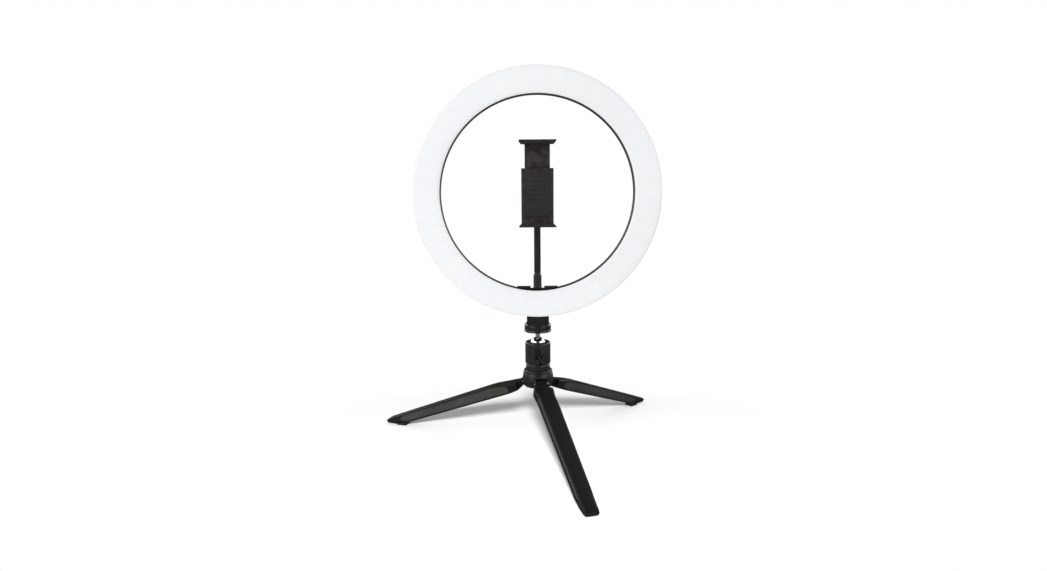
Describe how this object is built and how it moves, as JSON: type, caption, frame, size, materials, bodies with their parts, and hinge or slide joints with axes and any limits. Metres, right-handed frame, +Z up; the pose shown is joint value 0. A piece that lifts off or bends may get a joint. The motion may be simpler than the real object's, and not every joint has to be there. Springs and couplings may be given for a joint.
{
  "type": "ring light",
  "caption": "Desk ring light: a flat diffuser ring with a phone clamp on a stalk in its opening, held by a ball head on a folding mini tripod.",
  "frame": {"origin": "on the floor plane, under the middle of the bounding box", "axes": "+Z up; the lit face of the ring looks along -Y; +X is to the right of a viewer facing the lit side"},
  "size_m": [0.3202, 0.3136, 0.4],
  "materials": {
    "black_plastic": "satin moulded black plastic",
    "shell_plastic": "fine-grained black plastic",
    "jaw_plastic": "slightly brownish black plastic",
    "diffuser": "frosted white diffuser, lit from behind",
    "rubber": "matte rubber",
    "chrome": "polished",
    "steel": "zinc-plated",
    "brass": "turned",
    "led_board": "white solder mask",
    "control_board": "green solder mask",
    "wire": "insulated wire"
  },
  "bodies": {
    "tripod_hub": {"hub_body": "black_plastic", "hub_bottom_cap": "black_plastic", "center_screw": "steel", "leg_pin_1": "steel", "leg_pin_2": "steel", "leg_pin_3": "steel", "ballhead_base": "black_plastic", "ballhead_housing": "black_plastic", "lock_pad": "brass"},
    "leg_1": {"leg_1": "black_plastic", "foot_pad_1": "rubber"},
    "leg_2": {"leg_2": "black_plastic", "foot_pad_2": "rubber"},
    "leg_3": {"leg_3": "black_plastic", "foot_pad_3": "rubber"},
    "wing": {"wing_screw": "black_plastic"},
    "ball_swivel": {"ball_seat": "black_plastic"},
    "ball": {"ball_stud": "chrome"},
    "platform": {"lock_disc": "black_plastic", "platform_pad": "rubber"},
    "ring": {"rear_housing": "shell_plastic", "diffuser": "diffuser", "led_board": "led_board", "control_board": "control_board", "power_socket": "steel", "case_screw_1": "steel", "case_screw_2": "steel", "case_screw_3": "steel", "case_screw_4": "steel", "case_screw_5": "steel", "led_lead": "wire", "mount_block": "shell_plastic", "threaded_insert": "brass", "block_screw_1": "steel", "block_screw_2": "steel", "holder_shelf": "shell_plastic", "stalk_sleeve": "black_plastic", "stalk_rod": "black_plastic"},
    "power_key": {"button_power": "rubber"},
    "mode_key": {"button_mode": "rubber"},
    "dim_key": {"button_dim": "rubber"},
    "bright_key": {"button_bright": "rubber"},
    "clamp_swivel": {"clamp_ball_seat": "black_plastic"},
    "clamp_mount": {"clamp_socket": "black_plastic", "pivot_screw": "steel"},
    "clamp_nut": {"clamp_lock_nut": "black_plastic"},
    "clamp": {"clamp_body": "jaw_plastic", "clamp_cover": "jaw_plastic", "clamp_screw_1": "steel", "clamp_screw_2": "steel", "clamp_screw_3": "steel", "clamp_screw_4": "steel", "lower_pad": "rubber", "back_pad": "rubber", "spring_1": "steel", "spring_2": "steel"},
    "jaw": {"upper_jaw": "jaw_plastic", "upper_pad": "rubber"}
  },
  "joints": [
    {"name": "leg_1_fold", "type": "hinge", "parent": "tripod_hub", "child": "leg_1", "pos_m": [0.02249, 0.0124, 0.067], "axis": [0.9753, 0.2207, 0], "range_deg": [0, 67]},
    {"name": "leg_2_fold", "type": "hinge", "parent": "tripod_hub", "child": "leg_2", "pos_m": [0.02968, 0.03556, 0.067], "axis": [-0.6788, 0.7343, 0], "range_deg": [0, 67]},
    {"name": "leg_3_fold", "type": "hinge", "parent": "tripod_hub", "child": "leg_3", "pos_m": [0.00603, 0.0302, 0.067], "axis": [-0.2965, -0.955, 0], "range_deg": [0, 67]},
    {"name": "wing_turn", "type": "hinge", "parent": "tripod_hub", "child": "wing", "pos_m": [0.0194, 0.01175, 0.0983], "axis": [0, -1, 0], "range_deg": [0, 360]},
    {"name": "ball_pan", "type": "hinge", "parent": "tripod_hub", "child": "ball_swivel", "pos_m": [0.0194, 0.02605, 0.1075], "axis": [0, 0, 1], "continuous": true},
    {"name": "ball_tilt", "type": "hinge", "parent": "ball_swivel", "child": "ball", "pos_m": [0.0194, 0.02605, 0.1075], "axis": [1, 0, 0], "range_deg": [-35, 35]},
    {"name": "platform_turn", "type": "hinge", "parent": "ball", "child": "platform", "pos_m": [0.0194, 0.02605, 0.1265], "axis": [0, 0, 1], "continuous": true},
    {"name": "ring_turn", "type": "hinge", "parent": "ball", "child": "ring", "pos_m": [0.0194, 0.02605, 0.136], "axis": [0, 0, 1], "continuous": true},
    {"name": "power_press", "type": "slide", "parent": "ring", "child": "power_key", "axis": [0, -1, 0], "range_m": [0, 0.0006], "stiffness_N_per_m": 900},
    {"name": "mode_press", "type": "slide", "parent": "ring", "child": "mode_key", "axis": [0, -1, 0], "range_m": [0, 0.0006], "stiffness_N_per_m": 900},
    {"name": "dim_press", "type": "slide", "parent": "ring", "child": "dim_key", "axis": [0, -1, 0], "range_m": [0, 0.0006], "stiffness_N_per_m": 900},
    {"name": "bright_press", "type": "slide", "parent": "ring", "child": "bright_key", "axis": [0, -1, 0], "range_m": [0, 0.0006], "stiffness_N_per_m": 900},
    {"name": "clamp_pan", "type": "hinge", "parent": "ring", "child": "clamp_swivel", "pos_m": [0.0194, 0.02605, 0.272], "axis": [0, 0, 1], "continuous": true},
    {"name": "clamp_tilt", "type": "hinge", "parent": "clamp_swivel", "child": "clamp_mount", "pos_m": [0.0194, 0.02605, 0.272], "axis": [1, 0, 0], "range_deg": [-25, 8]},
    {"name": "clamp_nut_turn", "type": "hinge", "parent": "clamp_mount", "child": "clamp_nut", "pos_m": [0.0194, 0.02605, 0.27], "axis": [0, 0, 1], "continuous": true},
    {"name": "clamp_turn", "type": "hinge", "parent": "clamp_mount", "child": "clamp", "pos_m": [0.0194, 0.01405, 0.2785], "axis": [0, 1, 0], "range_deg": [-90, 90]},
    {"name": "jaw_slide", "type": "slide", "parent": "clamp", "child": "jaw", "axis": [0, 0, 1], "range_m": [-0.022, 0.012], "deforming": ["spring_1", "spring_2"]}
  ]
}
